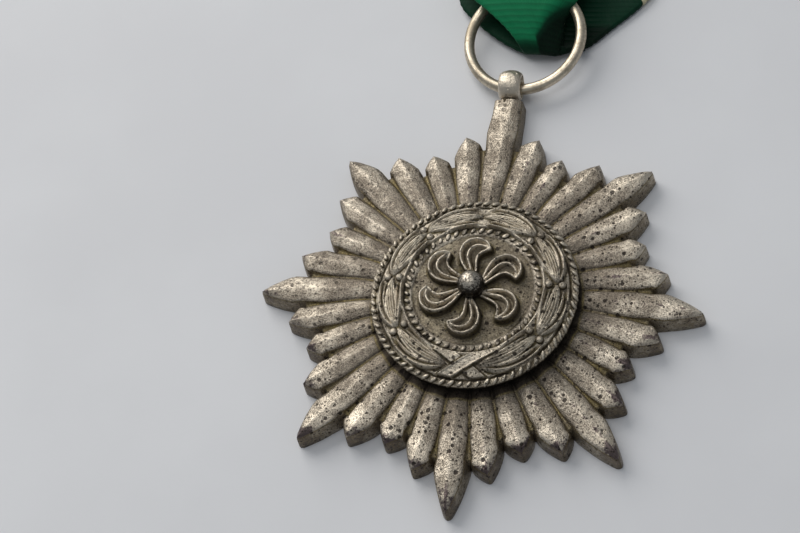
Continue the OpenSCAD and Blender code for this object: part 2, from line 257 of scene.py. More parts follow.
# The neck between stem and eyelet. Columns: y, half width, half height
neck_rows = [
    (20.6, 0.78, 0.75), (21.3, 0.8, 0.82), (21.55, 0.72, 0.7), (21.9, 0.8, 0.72), (22.3, 0.6, 0.5)]
neck_turns, neck_h, neck_squareness = 20, 1.2, 0.75
# Pits: cells in a millimetre, share of them that hold one, least and greatest radius in cells
big_pits = (1.65, 0.5, 0.13, 0.36)
small_pits = (3.2, 0.7, 0.16, 0.38)
star_bright, star_film = (0.685, 0.607, 0.497, 1), (0.315, 0.268, 0.212, 1)
star_moss, stain_tint = (0.25, 0.2, 0.092, 1), (0.075, 0.052, 0.058, 1)
wall_tint, tarnish_and_shade_tint = (0.26, 0.207, 0.13, 1), (0.035, 0.027, 0.024, 1)
grain_tint = (0.06, 0.048, 0.04, 1)


def mix(a, b, t):
    return a + (b - a) * t


def ray_axis(i):
    return i * ray_step + math.radians(ray_leans.get(i % ray_count, 0))


def groove_beside(i, side):
    """Angle of the groove on one side of ray i, and the radius of its notch."""
    low = i if side > 0 else i - 1
    return (ray_axis(low) + ray_axis(low + 1)) / 2, notch_radii[low % 4]


def half_ray_lines(i, side):
    """Ridge, shoulder and foot of half a ray that points along x, row by row."""
    is_stem = i % ray_count == stem_ray
    end = stem_end if is_stem else ray_radii[i % 4]
    groove, notch = groove_beside(i, side)
    notch_mean = (notch + groove_beside(i, -side)[1]) / 2
    half_angle = abs(groove - ray_axis(i))
    cos_h, sin_h = math.cos(half_angle), math.sin(half_angle)
    ridge_aside = side * stem_ridge_aside if is_stem else 0.0
    rows = []
    for q in np.linspace(0, 1, rows_to_notch):
        r = mix(ray_start, notch, q)
        open_w = mix(groove_half_w, web_half_w, max(0, 1 - (notch - r) / web_reach) ** 2)
        rows.append([
            (mix(ray_start, notch_mean, q), ridge_aside * lean_at_notch * q, ridge_h),
            (r * cos_h, r * sin_h - open_w, wall_h),
            (r * cos_h, r * sin_h, mix(groove_h, web_h, q ** 3))])
    power, last_w, back = ray_power, tip_half_w[i % 4], ray_back
    if is_stem:
        power, last_w, back = stem_power, stem_half_w, stem_back
    for t in np.linspace(0, 1, rows_to_tip):
        s = mix(first_row, 1, 1 - (1 - t) ** 1.5)
        u, v = mix(notch * cos_h, end, s), mix(notch * sin_h, last_w, s ** power)
        near_end = 0.0
        if not is_stem:
            v *= math.sqrt(max(0.06, 1 - max(0.0, 1 - (1 - s) / tip_round) ** 2))
            near_end = max(0.0, (s - tip_from) / (1 - tip_from)) ** 2
        inset = mix(web_half_w, tip_inset, min(1.0, s / 0.3))
        rows.append([
            (mix(notch_mean, end - back, s), ridge_aside * mix(lean_at_notch, 1, s),
             ridge_h - ridge_fall * s ** 2 - tip_ridge_fall * near_end),
            (u - back * s, max(v - inset, 0.4 * v, least_half_w),
             wall_h - edge_fall * s - tip_edge_fall * near_end),
            (u, v + foot_spread, 0.0)])
    rows = np.array(rows)
    out = rows[:, 0, 0] - ray_start
    return rows, out / (end - ray_start), np.clip(out / (notch_mean - ray_start), 0, 1) ** 3


def half_ray(i, side):
    """Points of half a ray, rows by columns from the ridge to the foot, and its marks."""
    rows, along, web_share = half_ray_lines(i, side)
    crest, shoulder, foot = rows[:, 0], rows[:, 1], rows[:, 2]
    in_groove = (np.arange(len(rows)) < rows_to_notch) * 1.0
    n_top = len(ray_across)
    grid = np.empty((len(rows), n_top + len(ray_wall), 3))
    marks = {key: np.zeros(grid.shape[:2]) for key in mark_names}
    marks["along"] += along[:, None]
    for j, c in enumerate(ray_across):
        grid[:, j] = mix(crest, shoulder, c)
        dome = 1 - 0.82 * (math.hypot(c, ridge_round) - ridge_round) - 0.26 * c ** 6
        grid[:, j, 2] = mix(shoulder[:, 2], crest[:, 2], dome)
        grid[:, j, 2] -= edge_round * max(0, c - edge_round_from)
        marks["hollow"][:, j] = groove_dark * c ** 12 * in_groove * mix(0.4, 1, along)
        marks["hollow"][:, j] += edge_dark * c ** 24 * (1 - in_groove)
        marks["ridge"][:, j] = max(0, 1 - c / 0.3)
    for j in range(len(ray_wall)):
        for here, (out, down) in ((in_groove > 0, ray_web[j]), (in_groove < 1, ray_wall[j])):
            grid[here, n_top + j] = mix(shoulder[here], foot[here], out)
            grid[here, n_top + j, 2] = mix(shoulder[here, 2] - wall_top, foot[here, 2], down)
        web_dark = mix(mix(0.4, 0.74, ray_web[j][1]), 0.5, web_share)
        marks["hollow"][:, n_top + j] = web_dark * in_groove
        marks["wall"][:, n_top + j] = 1 - in_groove
    rise = middle_rise * (1 - np.clip((grid[..., 0] - ray_start) / rise_reach, 0, 1) ** 2)
    grid[..., 2] += rise * grid[..., 2] / ridge_h
    grid[..., 1] *= side
    ca, sa = math.cos(ray_axis(i)), math.sin(ray_axis(i))
    flat = grid[..., :2] @ np.array([[ca, sa], [-sa, ca]])
    share = np.interp(np.linalg.norm(flat, axis=-1), *shift_rows.T)
    grid[..., :2] = flat + share[..., None] * whole_shift
    # Painted shade round the disc, where its side and its shadow fall on the rays
    away = np.linalg.norm(grid[..., :2] - painted_shade_middle, axis=-1)
    painted_ring_shade = 1 - np.clip((away - painted_shade_from) / (painted_shade_to - painted_shade_from), 0, 1)
    marks["hollow"] = np.maximum(marks["hollow"], painted_ring_shade)
    return grid, marks


def rounded(profile):
    """A line of points with its corners cut, and cut once more."""
    line = np.array(profile, float)
    for _ in range(2):
        a, b = line[:-1], line[1:]
        cut = np.stack([mix(a, b, 0.25), mix(a, b, 0.75)], axis=1).reshape(-1, line.shape[1])
        line = np.vstack([line[:1], cut, line[-1:]])
    return line


def grid_faces(rows, columns, round_rows=False, round_columns=False):
    """Faces of a grid of points, given row by row; either way may run round to its start."""
    return [
        (i * columns + j, (i + 1) % rows * columns + j,
         (i + 1) % rows * columns + (j + 1) % columns, i * columns + (j + 1) % columns)
        for i in range(rows if round_rows else rows - 1)
        for j in range(columns if round_columns else columns - 1)]


def polar(r, a, z):
    """Points from radii, angles and heights."""
    columns = np.broadcast_arrays(r * np.cos(a), r * np.sin(a), z)
    return np.stack(columns, axis=-1).reshape(-1, 3)


def lathe(profile, steps):
    """Points and faces of a closed profile, of radius and height, turned round the z axis."""
    r, z = np.array(profile, float).T
    turns = np.arange(steps)[:, None] * math.tau / steps
    return polar(r, turns, z), grid_faces(steps, len(r), True, True)


def solid(name, shells):
    """A mesh object of closed shells. Columns: points in mm, faces, and marks by name."""
    points, faces, marks = [], [], {key: [] for key in mark_names}
    for shell_points, shell_faces, given in shells:
        base = sum(len(p) for p in points)
        points.append(np.array(shell_points, float))
        faces += [tuple(base + k for k in f) for f in shell_faces]
        for key, values in marks.items():
            values.append(np.broadcast_to(given.get(key, 0.0), len(shell_points)))
    marks = {key: np.concatenate(values) for key, values in marks.items()}
    made = add_mesh(name, np.vstack(points), faces, marks)
    shape = bmesh.new()
    shape.from_mesh(made.data)
    bmesh.ops.remove_doubles(shape, verts=shape.verts, dist=0.002 * MM)
    bmesh.ops.recalc_face_normals(shape, faces=shape.faces)
    shape.to_mesh(made.data)
    shape.free()
    return made


def star_rays():
    """All rays side by side, closed at their tips, in the middle and over the flat back."""
    n_rows = rows_to_notch + rows_to_tip
    wide = 2 * (len(ray_across) + len(ray_wall)) - 1
    size = n_rows * wide
    points, faces, marks = [], [], {key: [] for key in mark_names}
    for i in range(ray_count):
        (left, left_marks), (right, right_marks) = half_ray(i, 1), half_ray(i, -1)
        points.append(np.concatenate([left[:, ::-1], right[:, 1:]], axis=1).reshape(-1, 3))
        for key, values in marks.items():
            both = [left_marks[key][:, ::-1], right_marks[key][:, 1:]]
            values.append(np.concatenate(both, axis=1).ravel())
    bottom, top = ray_count * size, ray_count * size + 1
    tips = [ray.reshape(n_rows, wide, 3)[-1, [0, -1]].mean(0) for ray in points]
    points += [[[0, 0, 0], [0, 0, groove_h]], tips]
    for values in marks.values():
        values.append(np.ones(2 + ray_count))

    def at(ray, row, column):
        return ray % ray_count * size + row * wide + column % wide

    last, ray_faces = n_rows - 1, grid_faces(n_rows, wide)
    for i in range(ray_count):
        tip = top + 1 + i
        faces += [tuple(i * size + k for k in face) for face in ray_faces]
        for column in range(wide - 1):
            faces += [
                (at(i, 0, column + 1), top, at(i, 0, column)),
                (at(i, last, column), tip, at(i, last, column + 1))]
        for row in range(rows_to_notch, last):
            faces += [
                (at(i, row, 0), bottom, at(i, row + 1, 0)),
                (at(i, row + 1, -1), bottom, at(i, row, -1))]
        before, past = at(i, rows_to_notch - 1, 0), at(i, rows_to_notch, 0)
        beyond = at(i + 1, rows_to_notch, -1)
        faces += [
            (at(i, last, 0), bottom, tip), (tip, bottom, at(i, last, -1)),
            (before, past, beyond), (past, bottom, beyond)]
    return np.vstack(points), faces, {key: np.concatenate(v) for key, v in marks.items()}


def star_seat():
    profile = [(axis_r, seat_low), (seat_r, seat_low), (seat_r, seat_h), (axis_r, seat_h)]
    # The seat under the disc is painted dark as shade
    return *lathe(profile, seat_turns), {"hollow": 1.0}


def star_eyelet():
    edge_r, edge_w = bore_r + eyelet_edge_r, eyelet_half_w - eyelet_edge_w
    profile = [
        (mix(edge_r, eyelet_r, math.cos(a)), eyelet_half_w * math.sin(a))
        for a in np.linspace(-math.pi / 2, math.pi / 2, eyelet_steps)]
    profile += [(bore_r, edge_w), (bore_r, 0), (bore_r, -edge_w)]
    points, faces = lathe(profile, eyelet_turns)
    points = points[:, [2, 0, 1]] + np.array(eyelet_middle)
    return points, faces, {"along": 0.9, "hollow": -0.6}


def star_neck():
    """The short waist between the stem and the eyelet, rounded on all sides."""
    turns = np.arange(neck_turns) * math.tau / neck_turns
    across, up = (np.sign(v) * np.abs(v) ** neck_squareness for v in (np.cos(turns), np.sin(turns)))
    rings = [
        np.stack([across * half_w, np.full(neck_turns, y), neck_h + up * half_h], axis=-1)
        for y, half_w, half_h in rounded(neck_rows)]
    points = np.vstack(rings)
    n = len(points)
    caps = [tuple(range(neck_turns)), tuple(range(n - 1, n - neck_turns - 1, -1))]
    faces = grid_faces(len(rings), neck_turns, round_columns=True) + caps
    # The neck is painted dark as shade under the eyelet and the ring
    return points, faces, {"along": 0.6, "hollow": 0.9}


def pits(where, per_mm, share, least, most):
    """1 inside scattered round pits and 0 outside; their radii are shares of a cell."""
    cells = after("ShaderNodeTexVoronoi", {"Vector": where, "Scale": per_mm})
    in_shader = where.id_data.type == "SHADER"
    kind = "ShaderNodeSeparateColor" if in_shader else "FunctionNodeSeparateColor"
    chance = after(kind, {0: cells["Color"]})
    drift = times(cloudy(where, 0.35, 1.0), 0.9)
    found = ramp(plus(chance[0], drift), 1.43 - share, 1.45 - share)
    radius = ramp(chance[1], 0.0, 1.0, least, most)
    return times(ramp(minus(radius, cells["Distance"]), 0.0, 0.1), found)


def start_tree(name, inputs):
    """A Geometry Nodes tree and its inputs, for which the kinds are given by name."""
    tree = bpy.data.node_groups.new(name, "GeometryNodeTree")
    tree.interface.new_socket("Geometry", in_out="OUTPUT", socket_type="NodeSocketGeometry")
    for label, kind in {"Geometry": "Geometry", **inputs, "Material": "Material"}.items():
        tree.interface.new_socket(label, in_out="INPUT", socket_type="NodeSocket" + kind)
    return tree, tree.nodes.new("NodeGroupInput").outputs


def end_tree(geometry, material):
    loose = after("GeometryNodeRealizeInstances", {0: geometry})[0]
    dressed = after("GeometryNodeSetMaterial", {"Geometry": loose, "Material": material})[0]
    after("NodeGroupOutput", {0: dressed})
    return geometry.id_data


def raised(geometry, rise):
    """The geometry with each point moved along its normal."""
    shift = scaled(put(geometry.id_data, "GeometryNodeInputNormal")[0], rise)
    return after("GeometryNodeSetPosition", {"Geometry": geometry, "Offset": shift})[0]


def applied(piece):
    """The piece as a plain mesh, with its modifiers worked in."""
    graph = bpy.context.evaluated_depsgraph_get()
    mesh = bpy.data.meshes.new_from_object(
        piece.evaluated_get(graph), preserve_all_data_layers=True, depsgraph=graph)
    piece.modifiers.clear()
    old, piece.data = piece.data, mesh
    bpy.data.meshes.remove(old)
    mesh.name = piece.name
    return piece


def grown(piece, tree, finish, values={}):
    """The piece as the tree makes it from its finish and the values of its other inputs."""
    values = {"Material": finish, **values}
    modifier = piece.modifiers.new(tree.name, "NODES")
    modifier.node_group = tree
    for item in tree.interface.items_tree:
        if item.in_out == "INPUT" and item.name in values:
            modifier[item.identifier] = values[item.name]
    return applied(piece)


def cast_skin():
    """The uneven skin of the casting: pits, fine grain and slow waves."""
    tree, given = start_tree("cast_skin", {
        "Pit depth": "Float", "Grain height": "Float", "Wave height": "Float"})
    place = put(tree, "GeometryNodeInputPosition")[0]
    where = scaled(place, 1 / MM)
    grain = minus(cloudy(where, 3.2, 2.0), 0.6)
    wave = minus(cloudy(where, 0.6, 1.0), 0.6)
    rise = plus(times(grain, given["Grain height"]), times(wave, given["Wave height"]))
    rise = minus(rise, times(pits(where, *big_pits), given["Pit depth"]))
    above_table = ramp(xyz(place)[2], 0.02 * MM, 0.5 * MM)
    moved = raised(given["Geometry"], times(rise, above_table))
    return end_tree(moved, given["Material"])


def mark_of(tree, name):
    """A value that the mesh carries at its points."""
    return put(tree, "ShaderNodeAttribute", attribute_name=name)["Fac"]


def cast_silver(name, bright, film, moss, wear, rough):
    """Silvered cast metal: bright where it is rubbed, with a brown film, dark pits and hollows, a
    painted highlight towards the lower right and painted shade where marked.
    """
    made, tree, shader = finish_of(name)
    where = in_mm(tree)
    along, hollow, wall, ridge = (mark_of(tree, key) for key in mark_names)
    blotch = cloudy(where, 0.5, 5.0, 0.62)
    speck = cloudy(where, 2.6, 5.0, 0.75)
    right, up, _ = xyz(where)
    to_lower_right = minus(right, up)

    # Rays are rubbed brighter towards their tips; towards the lower right this is a painted
    # highlight, and the top is painted a little darker, as the light falls
    tip_wear_and_highlight = ramp(to_lower_right, -14.0, 6.0, 0.12, 0.42)
    rub_and_highlight = plus(
        times(blotch, 0.9), times(speck, 0.45), times(along, tip_wear_and_highlight),
        times(minus(0.42, tip_wear_and_highlight), 0.5), times(along, ridge, 0.16),
        ramp(up, 14.0, -16.0, -0.04, -0.02), times(hollow, -0.5), times(wall, -0.1))
    shine = ramp(rub_and_highlight, wear - 0.26, wear + 0.24)

    tipward = times(ramp(along, 0.76, 0.97), ramp(up, 9.0, -9.0, 0.1, 0.3))
    streak = times(ridge, ramp(cloudy(where, 0.11, 1.0), 0.48, 0.6, 0.0, 0.2))
    spotted = plus(cloudy(where, 0.9, 6.0, 0.72), times(speck, 0.4))
    stain = plus(spotted, tipward, streak, times(wall, 0.03))
    # Pits and grain fade on the smooth eyelet, whose mark lies below 0, and the pits towards
    # the upper left
    kept = ramp(hollow, -0.6, -0.3, 0.15, 1.0)
    holes = sums("MAXIMUM", pits(where, *big_pits), times(pits(where, *small_pits), 0.9))
    holes = times(holes, ramp(to_lower_right, -22.0, 2.0, 0.45, 1.0))
    grain = plus(cloudy(where, 8.5, 2.0, 0.6), times(shine, -0.11))
    grain = times(ramp(grain, 0.42, 0.58, 0.0, 0.55), kept)
    mossy = ramp(blotch, 0.3, 0.6, 0.45, 1.0)
    colour = layered(tint(shine, film, bright), [
        (ramp(stain, 0.86, 1.0, 0.0, 0.92), stain_tint),
        (times(wall, ramp(speck, 0.38, 0.6, 0.85, 0.35)), wall_tint),
        (times(ramp(hollow, 0.22, 0.6), mossy), moss),
        # Dark tarnish in deep hollows and pits, and painted shade where the mark is set for it
        (ramp(hollow, 0.6, 0.98, 0.0, 0.9), tarnish_and_shade_tint),
        (grain, grain_tint), (times(holes, 0.86, kept), tarnish_and_shade_tint)])

    gloss = ramp(shine, 0.0, 1.0, rough + 0.17, rough)
    relief = plus(speck, times(holes, -0.9), times(grain, -0.5))
    set_sockets(shader, {
        "Base Color": colour, "Metallic": 0.88, "Roughness": plus(gloss, times(holes, 0.2)),
        "Normal": bump(relief, 0.85, 0.08)})
    return made


star = solid("star_casting", [star_rays(), star_seat(), star_eyelet(), star_neck()])
star_finish = cast_silver(
    "pitted_cast_silver", star_bright, star_film, star_moss, wear=0.94, rough=0.29)
skin = cast_skin()
grown(star, skin, star_finish, {
    "Pit depth": 0.06 * MM, "Grain height": 0.05 * MM, "Wave height": 0.05 * MM})
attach(star, "root")
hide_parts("star")


# Disc. A second casting that lies on the star's round seat: a rope rim, a wreath tied with
# a crossed ribbon, a ring of beads, six whirling petals and a polished ball in the middle.
# Its hollows are dark with tarnish and its crests are rubbed bright; painted shade darkens its
# side, the ground round its petals, bow and ball, and the lower side of its beads, whose tops carry
# a painted highlight.
disc_turns = 480
# The plain disc from the middle out: radius, height
bed_line = np.array([
    (0, 4.30), (2.9, 4.18), (5.3, 4.06), (5.42, 4.14), (5.54, 4.2), (6.10, 4.2), (6.24, 4.44),
    (6.34, 4.44), (6.46, 4.3), (7.0, 4.17), (8.4, 3.66), (8.54, 3.44), (8.66, 3.55),
    (9.16, 3.56), (9.22, 3.5)])
# Its side and back, on down from there
disc_side = [(9.2, 3.4), (9.2, 3.24), (8.66, 3.04), (8.6, 2.62), (0.7, 2.62)]
face_radii = np.concatenate([
    np.linspace(0.7, 5.28, 80), [5.35, 5.42, 5.48, 5.54, 5.7, 5.9, 6.1, 6.16, 6.22],
    np.linspace(6.28, 8.66, 50), [8.8, 9.0, 9.16, 9.22]])
middle_h, back_h = 4.3, 2.62
# The middle field with its petals ends at the first radius, the wreath starts at the second
field_r, wreath_r, rim_foot_r, field_h = 5.2, 6.3, 8.4, 4.08
# How dark hollows of the relief are. Columns: reach in rows and turns, weight
relief_darks = [(3, 4.2), (8, 2.2)]
petal_angles = [91.6, 33, -31, -95, -157, 146]
petal_groove, petal_groove_w, petal_wall_w, petal_crest_h = 0.64, 0.3, 0.15, 4.5
# Crests of a petal that points up. Columns: x, y, height
petal_rim = [
    (-0.24, 1.12, 4.7), (-0.66, 1.64, 4.86), (-1.11, 2.3, 4.98), (-1.36, 3, 5.06),
    (-1.3, 3.76, 5.1), (-0.9, 4.37, 5.12), (-0.15, 4.7, 5.12), (0.62, 4.58, 5.12),
    (1.1, 4.2, 5.1), (1.27, 3.77, 5.04)]
petal_hook = [
    (-0.08, 1.16, 4.7), (-0.35, 1.92, 4.84), (-0.63, 2.62, 4.93), (-0.69, 3.24, 4.98),
    (-0.44, 3.79, 5), (0.06, 4.07, 5), (0.59, 4.05, 4.97), (1.03, 3.86, 4.95)]
petal_back = [
    (0.21, 1.16, 4.7), (0.17, 1.92, 4.82), (0.12, 2.57, 4.9), (0.23, 3.09, 4.94),
    (0.63, 3.44, 4.96), (1.25, 3.69, 4.98)]
# Leaves of a bundle. Columns: radius at the root, bend and tip, half width, rise,
# start and end as shares of the bundle's angle, veins
bundle_leaves = [
    (7.35, 5.95, 6.5, 0.27, 0.34, -0.02, 1.08, 0),
    (7.35, 6.5, 6.85, 0.2, 0.38, 0.02, 0.95, 0),
    (7.4, 7.25, 7.4, 0.55, 0.46, -0.04, 1.1, 5),
    (7.45, 8.15, 7.9, 0.2, 0.36, 0.02, 0.97, 0),
    (7.5, 9.0, 8.2, 0.28, 0.36, -0.02, 1.08, 0)]
leaf_radii = (6.15, 8.72)
bundles, bundle_step = 4, 41
bow_half_angle, tip_angle, berry_angle, root_angle = 11, 13, 14.5, 16
berry_radii, berry_r, berry_lift = np.array([6.7, 7.85]), 0.38, 0.02
bow_middle, bow_angles, bow_rises = (0.1, -7.3), (-34, 33), (0.26, 0.38)
bow_half_length, bow_half_w, bow_radii = 2.9, 0.5, (6.36, 8.5)
# Rows of teeth and beads. Columns: name, count, radius, height, half sizes of one, slant and
# droop in degrees, wear, grime, seed
rim_r, bead_r = 8.96, 5.83
bead_rows = [
    ("rope_rim", 72, rim_r, 3.6, (0.5, 0.215, 0.28), -50, 28, 0.24, 0.07, 4),
    ("bead_ring", 48, bead_r, 4.24, (0.4, 0.23, 0.2), -40, 0, 0.3, 0.3, 7)]
ball_r, ball_h, ball_turns = 1.2, 5.2, 56
disc_bright, disc_film = (0.68, 0.605, 0.49, 1), (0.28, 0.24, 0.19, 1)
disc_moss = (0.145, 0.118, 0.06, 1)
ball_dark, ball_bright = (0.035, 0.03, 0.025, 1), (0.6, 0.54, 0.455, 1)


def bed_h(r):
    """Height of the plain disc at radius r."""
    return np.interp(r, *bed_line.T)


def smooth(t):
    t = np.clip(t, 0, 1)
    return t * t * (3 - 2 * t)


def near_line(x, y, line):
    """Distance to a line of points with heights, and the line's height there."""
    best, height = np.full(x.shape, 1e9), np.zeros(x.shape)
    for a, b in zip(line[:-1], line[1:]):
        d = b[:2] - a[:2]
        t = np.clip(((x - a[0]) * d[0] + (y - a[1]) * d[1]) / (d @ d), 0, 1)
        far = np.hypot(x - a[0] - t * d[0], y - a[1] - t * d[1])
        closer = far < best
        best = np.where(closer, far, best)
        height = np.where(closer, mix(a[2], b[2], t), height)
    return best, height


def inside(x, y, line):
    """Whether each point is inside a closed line."""
    found = np.zeros(x.shape, bool)
    for a, b in zip(line, np.roll(line, -1, axis=0)):
        crosses = (a[1] > y) != (b[1] > y)
        with np.errstate(divide="ignore", invalid="ignore"):
            found ^= crosses & (x < (b[0] - a[0]) * (y - a[1]) / (b[1] - a[1]) + a[0])
    return found


def add_petals(x, y, z, dark):
    """Raises the petals in z, and sets how dark each point on and beside them is."""
    rim, hook, back = (rounded(line) for line in (petal_rim, petal_hook, petal_back))
    outline = np.vstack([rim[:, :2], back[::-1, :2]])
    taken = np.zeros(x.shape, bool)
    for angle in petal_angles:
        turn = math.radians(90 - angle)
        px = x * math.cos(turn) - y * math.sin(turn)
        py = x * math.sin(turn) + y * math.cos(turn)
        near = (np.abs(px) < 2.2) & (py > 0.6) & (py < 5.6)
        qx, qy, height = px[near], py[near], z[near]
        within = inside(qx, qy, outline)
        nearest = np.full(qx.shape, 9.0)
        for line in (rim, back, hook):
            far, crest = near_line(qx, qy, line)
            groove = crest - petal_groove * smooth((far - 0.04) / petal_groove_w)
            wall = mix(crest, field_h, smooth((far - 0.07) / petal_wall_w))
            height = np.maximum(height, np.where(within, groove, wall))
            nearest = np.minimum(nearest, far)
        z[near] = height
        # Painted shade on the walls and the ground round each petal
        petal_shade = mix(0.8, 0.0, smooth((nearest - 0.22) / 0.4)) * smooth((nearest - 0.08) / 0.09)
        inner = 0.42 * smooth((nearest - 0.14) / 0.16) - 0.06 * (1 - smooth((nearest - 0.1) / 0.12))
        kept = np.where(taken[near], dark[near], np.maximum(dark[near], petal_shade))
        dark[near] = np.where(within, inner, kept)
        taken[near] |= within


def add_leaf(r, around, z, root, tip, row):
    root_r, bend_r, tip_r, half_w, rise, start, end, veins = row
    first, last = mix(root, tip, start), mix(root, tip, end)
    t = (around - first) / (last - first)
    on = (t > 0) & (t < 1) & (r > leaf_radii[0]) & (r < leaf_radii[1])
    t, rr = t[on], r[on]
    centre = (1 - t) ** 2 * root_r + 2 * t * (1 - t) * bend_r + t * t * tip_r
    width = half_w * np.sin(math.pi * t ** 0.9) ** 0.75 + 0.03
    v = (rr - centre) / width
    cap = np.clip(1 - np.abs(v), 0, 1) ** 0.75
    if veins:
        ribs = 0.8 + 0.2 * np.cos(v * veins * math.pi)
        cap = np.clip(1 - np.abs(v) ** 3, 0, 1) ** 0.7 * ribs
    lift = rise * smooth(t * 7) * smooth((1 - t) * 6)
    z[on] = np.where(np.abs(v) < 1, np.maximum(z[on], bed_h(rr) + lift * cap), z[on])


def add_wreath(r, around, z):
    """Raises the leaves of both halves of the wreath in z, bundle by bundle."""
    for side in (1, -1):
        for b in range(bundles):
            root = side * (bow_half_angle if b == 0 else b * bundle_step + root_angle)
            tip = side * ((b + 1) * bundle_step + tip_angle)
            for row in bundle_leaves:
                add_leaf(r, around, z, root, tip, row)


def add_bow(x, y, r, z, dark):
    """The two crossed ends of the ribbon that ties the wreath, laid over it."""
    ends = smooth((r - bow_radii[0]) / 0.15) * smooth((bow_radii[1] - r) / 0.15)
    for angle, rise in zip(bow_angles, bow_rises):
        turn = math.radians(angle)
        u = (x - bow_middle[0]) * math.cos(turn) + (y - bow_middle[1]) * math.sin(turn)
        v = (y - bow_middle[1]) * math.cos(turn) - (x - bow_middle[0]) * math.sin(turn)
        edge = np.abs(v) / bow_half_w
        on = ends * (np.abs(u) < bow_half_length)
        band = bed_h(r) + rise * (0.72 + 0.28 * smooth((edge - 0.62) / 0.16))
        share = on * smooth((1.06 - edge) / 0.2)
        z[:] = np.where(share > 0, mix(np.minimum(z, band), band, share), z)
        # Painted shade along the edges of each band
        gap = on * smooth((edge - 0.9) / 0.1) * smooth((1.45 - edge) / 0.3)
        bow_shade = np.maximum(dark, 0.8 * gap)
        dark[:] = np.where(edge < 0.9, np.where(share > 0.5, 0.0, dark), bow_shade)


def softened(z, reach):
    """Mean height within reach rows and turns, along both directions of the grid."""
    span = range(-reach, reach + 1)
    for _ in range(2):
        z = sum(np.roll(z, k, axis=1) for k in span) / len(span)
        padded = np.pad(z, ((reach, reach), (0, 0)), mode="edge")
        z = sum(padded[reach + k:reach + k + len(z)] for k in span) / len(span)
    return z


def disc_casting():
    """The disc with its wreath, bow and petals, as one grid from the middle over the rim."""
    turns = np.arange(disc_turns) * math.tau / disc_turns
    r, a = np.meshgrid(face_radii, turns, indexing="ij")
    x, y, z, dark = r * np.cos(a), r * np.sin(a), bed_h(r), np.zeros(r.shape)
    add_wreath(r, (np.degrees(a) + 270) % 360 - 180, z)
    add_bow(x, y, r, z, dark)
    add_petals(x, y, z, dark)

    hollow = 0.05 + sum((softened(z, reach) - z) * weight for reach, weight in relief_darks)
    hollow = np.clip(hollow, -0.3, 1)
    hollow = np.maximum(hollow, 0.34 * smooth((r - rim_foot_r) / 0.12))
    hollow = np.maximum(hollow, 0.38 * (1 - smooth(np.abs(r - bead_r) / 0.4)))
    # The field is tarnished, and painted shade darkens it further round the ball and between the
    # petals
    field_patina_and_shade = np.maximum(0.43 + 0.3 * (1 - smooth((r - 1.4) / 1.5)), dark)
    hollow = mix(hollow, field_patina_and_shade, 1 - smooth((r - field_r) / 0.2))
    on_petal = (r < field_r) & (z > petal_crest_h)
    hollow = np.where(on_petal | (r > wreath_r) & (dark > 0), dark, hollow)

    sides = [polar(side_r, turns, side_h) for side_r, side_h in disc_side]
    points = np.vstack([polar(r, a, z), *sides, [[0, 0, middle_h], [0, 0, back_h]]])
    # The disc's side and back are painted dark as shade
    hollow = np.concatenate([hollow.ravel(), np.full(disc_turns * len(disc_side), 0.95), [1, 1]])
    n = len(face_radii) + len(disc_side)
    middle, back, last = n * disc_turns, n * disc_turns + 1, (n - 1) * disc_turns
    faces = grid_faces(n, disc_turns, round_columns=True)
    for j in range(disc_turns):
        k = (j + 1) % disc_turns
        faces += [(j, k, middle), (last + k, last + j, back)]
    return points, faces, {"hollow": hollow, "along": 0.2}


def ball_of(tree, radius):
    return put(tree, "GeometryNodeMeshIcoSphere", {"Radius": radius, "Subdivisions": 3})["Mesh"]


def with_patina_and_shade(geometry, value):
    return after("GeometryNodeStoreNamedAttribute", {
        "Geometry": geometry, "Name": "hollow", "Value": value},
        data_type="FLOAT", domain="POINT")[0]


def bead_row_tree():
    """Beads or rope teeth in a row round the disc."""
    tree, given = start_tree("bead_row", {
        "Count": "Int", "Radius": "Float", "Height": "Float", "Bead size": "Vector",
        "Slant": "Float", "Droop": "Float", "Wear": "Float", "Grime": "Float", "Seed": "Int"})
    row = after("GeometryNodeMeshCircle", {
        "Vertices": given["Count"], "Radius": given["Radius"]})[0]
    up = after("ShaderNodeCombineXYZ", {2: given["Height"]})[0]
    row = after("GeometryNodeSetPosition", {"Geometry": row, "Offset": up})[0]
    x, y, z = xyz(put(tree, "GeometryNodeInputPosition")[0])
    # Each bead or tooth is painted darker on its lower side as shade and lighter on its top as a
    # highlight, besides the row's grime
    grime_and_shade = plus(ramp(z, 0.95, 0.1, -0.4, 0.55), given["Grime"])
    bead = with_patina_and_shade(ball_of(tree, 1.0), grime_and_shade)
    bead = after("GeometryNodeTransform", {"Geometry": bead, "Scale": given["Bead size"]})[0]
    turn = plus(sums("ARCTAN2", y, x), given["Slant"])
    facing = after("ShaderNodeCombineXYZ", {1: given["Droop"], 2: turn})[0]
    worn = after("FunctionNodeRandomValue", {
        2: minus(1.0, given["Wear"]), 3: 1.0, "Seed": given["Seed"]}, data_type="FLOAT")[1]
    beads = after("GeometryNodeInstanceOnPoints", {
        "Points": row, "Instance": bead, "Rotation": facing, "Scale": worn})[0]
    return end_tree(beads, given["Material"])


def berry_tree():
    """A berry on each point that it is given."""
    tree, given = start_tree("berries", {"Berry radius": "Float"})
    height = xyz(put(tree, "GeometryNodeInputPosition")[0])[2]
    share = sums("DIVIDE", height, given["Berry radius"])
    # Each berry is painted darker on its lower side as shade
    berry = with_patina_and_shade(ball_of(tree, given["Berry radius"]), ramp(share, 0.9, 0.1, 0.0, 0.9))
    berries = after("GeometryNodeInstanceOnPoints", {
        "Points": given["Geometry"], "Instance": berry})[0]
    return end_tree(berries, given["Material"])


